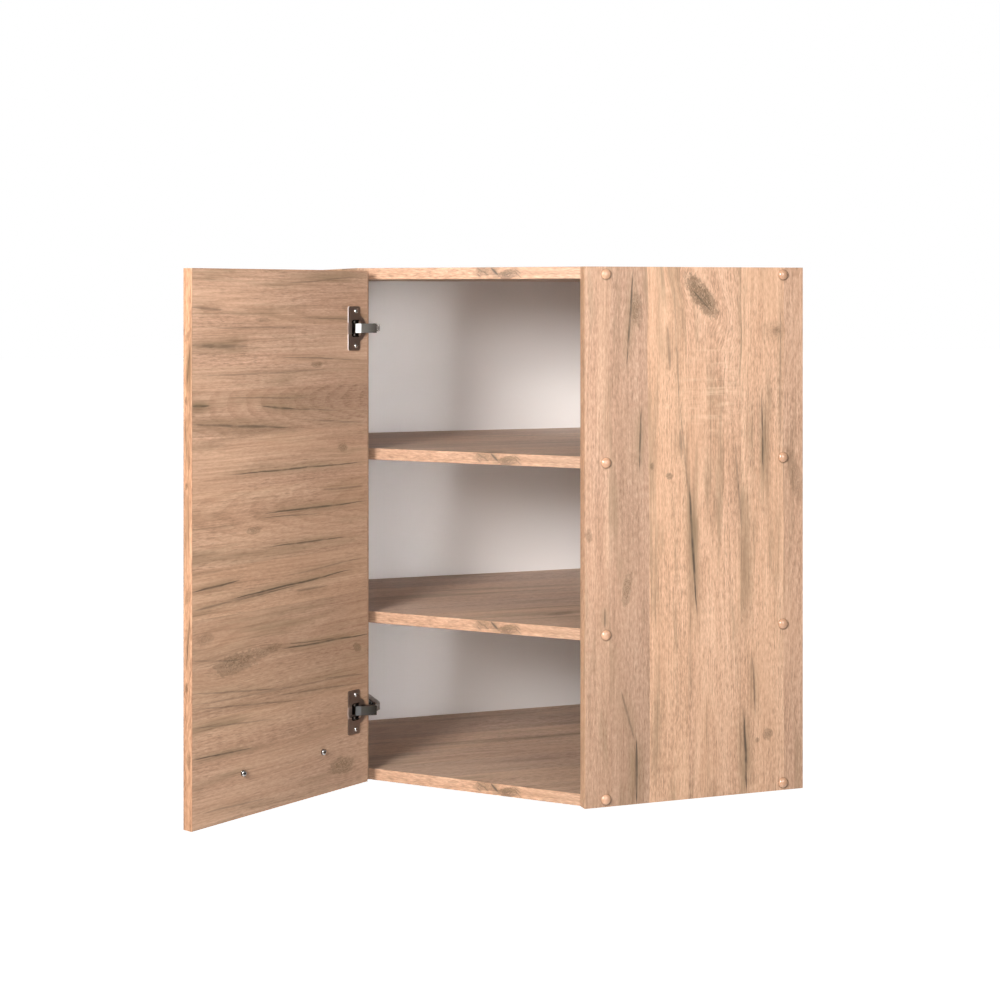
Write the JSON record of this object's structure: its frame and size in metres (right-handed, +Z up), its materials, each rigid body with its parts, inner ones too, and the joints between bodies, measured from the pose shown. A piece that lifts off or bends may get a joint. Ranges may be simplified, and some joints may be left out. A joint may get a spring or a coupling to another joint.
{
  "type": "corner wall cabinet",
  "caption": "Hanging corner wall cabinet in oak decor with a diagonal front, fixed shelves, white back sheets and a door on concealed hinges, standing open.",
  "frame": {"origin": "the room's corner at the height of the cabinet's underside, where the planes of the two walls meet", "axes": "+Z up, +X into the wall behind the right leg, +Y into the wall behind the left leg; the diagonal front faces -X -Y"},
  "size_m": [0.8465, 0.5542, 0.72],
  "materials": {
    "oak_side_right": "laminated board in a golden oak decor, satin",
    "oak_side_left": "laminated board in a golden oak decor, satin",
    "oak_top": "laminated board in a golden oak decor, satin",
    "oak_bottom": "laminated board in a golden oak decor, satin",
    "oak_shelf_upper": "laminated board in a golden oak decor, satin",
    "oak_shelf_lower": "laminated board in a golden oak decor, satin",
    "oak_door": "laminated board in a golden oak decor, satin",
    "oak_edge_diagonal": "edge band in the same oak decor",
    "oak_edge_side": "edge band in the same oak decor",
    "oak_edge_door": "edge band in the same oak decor",
    "white_sheet": "white lacquered hardboard",
    "cap_plastic": "moulded caps in the colour of the board",
    "zinc_steel": "zinc plated",
    "hinge_nickel": "nickel plated steel",
    "handle_metal": "satin nickel"
  },
  "bodies": {
    "cabinet": {"side_panel_right": "oak_side_right", "side_panel_left": "oak_side_left", "top_panel": "oak_top", "bottom_panel": "oak_bottom", "shelf_upper": "oak_shelf_upper", "shelf_lower": "oak_shelf_lower", "back_sheet_right": "white_sheet", "back_sheet_left": "white_sheet", "edge_bands_diagonal": "oak_edge_diagonal", "edge_band_right": "oak_edge_side", "edge_band_left": "oak_edge_side", "joining_screws": "zinc_steel", "screw_caps": "cap_plastic", "hinge_plate_lower": "hinge_nickel", "hinge_plate_upper": "hinge_nickel", "hinge_arm_lower": "hinge_nickel", "hinge_arm_upper": "hinge_nickel", "hinge_arm_pins": "hinge_nickel", "hinge_plate_screws": "zinc_steel", "hinge_arm_screws": "zinc_steel", "hanger_right": "zinc_steel", "hanger_left": "zinc_steel", "hanger_screws": "zinc_steel"},
    "door": {"door_panel": "oak_door", "door_bands_upright": "oak_edge_door", "door_bands_level": "oak_edge_door", "hinge_cup_lower": "hinge_nickel", "hinge_cup_upper": "hinge_nickel", "hinge_cup_screws": "zinc_steel", "hinge_cup_pins": "hinge_nickel", "handle": "handle_metal", "handle_screws": "zinc_steel"},
    "swing_links": {"hinge_swing_link_lower": "hinge_nickel", "hinge_swing_link_upper": "hinge_nickel"},
    "cup_links": {"hinge_cup_link_lower": "hinge_nickel", "hinge_cup_link_upper": "hinge_nickel", "hinge_middle_pins": "hinge_nickel"}
  },
  "joints": [
    {"name": "door_swing", "type": "hinge", "parent": "cabinet", "child": "door", "pos_m": [-0.56805, -0.3157, 0.36], "axis": [0, 0, 1], "range_deg": [0, 103.7]},
    {"name": "swing_link_turn", "type": "hinge", "parent": "cabinet", "child": "swing_links", "pos_m": [-0.54521, -0.32015, 0.36], "axis": [0, 0, 1], "range_deg": [0, 103.7]},
    {"name": "cup_link_turn", "type": "hinge", "parent": "door", "child": "cup_links", "pos_m": [-0.57868, -0.33632, 0.36], "axis": [0, 0, 1], "range_deg": [-103.7, 0]}
  ],
  "couplings": [
    {"joint": "swing_link_turn", "follows": "door_swing", "ratio": 1},
    {"joint": "cup_link_turn", "follows": "door_swing", "ratio": -1}
  ]
}
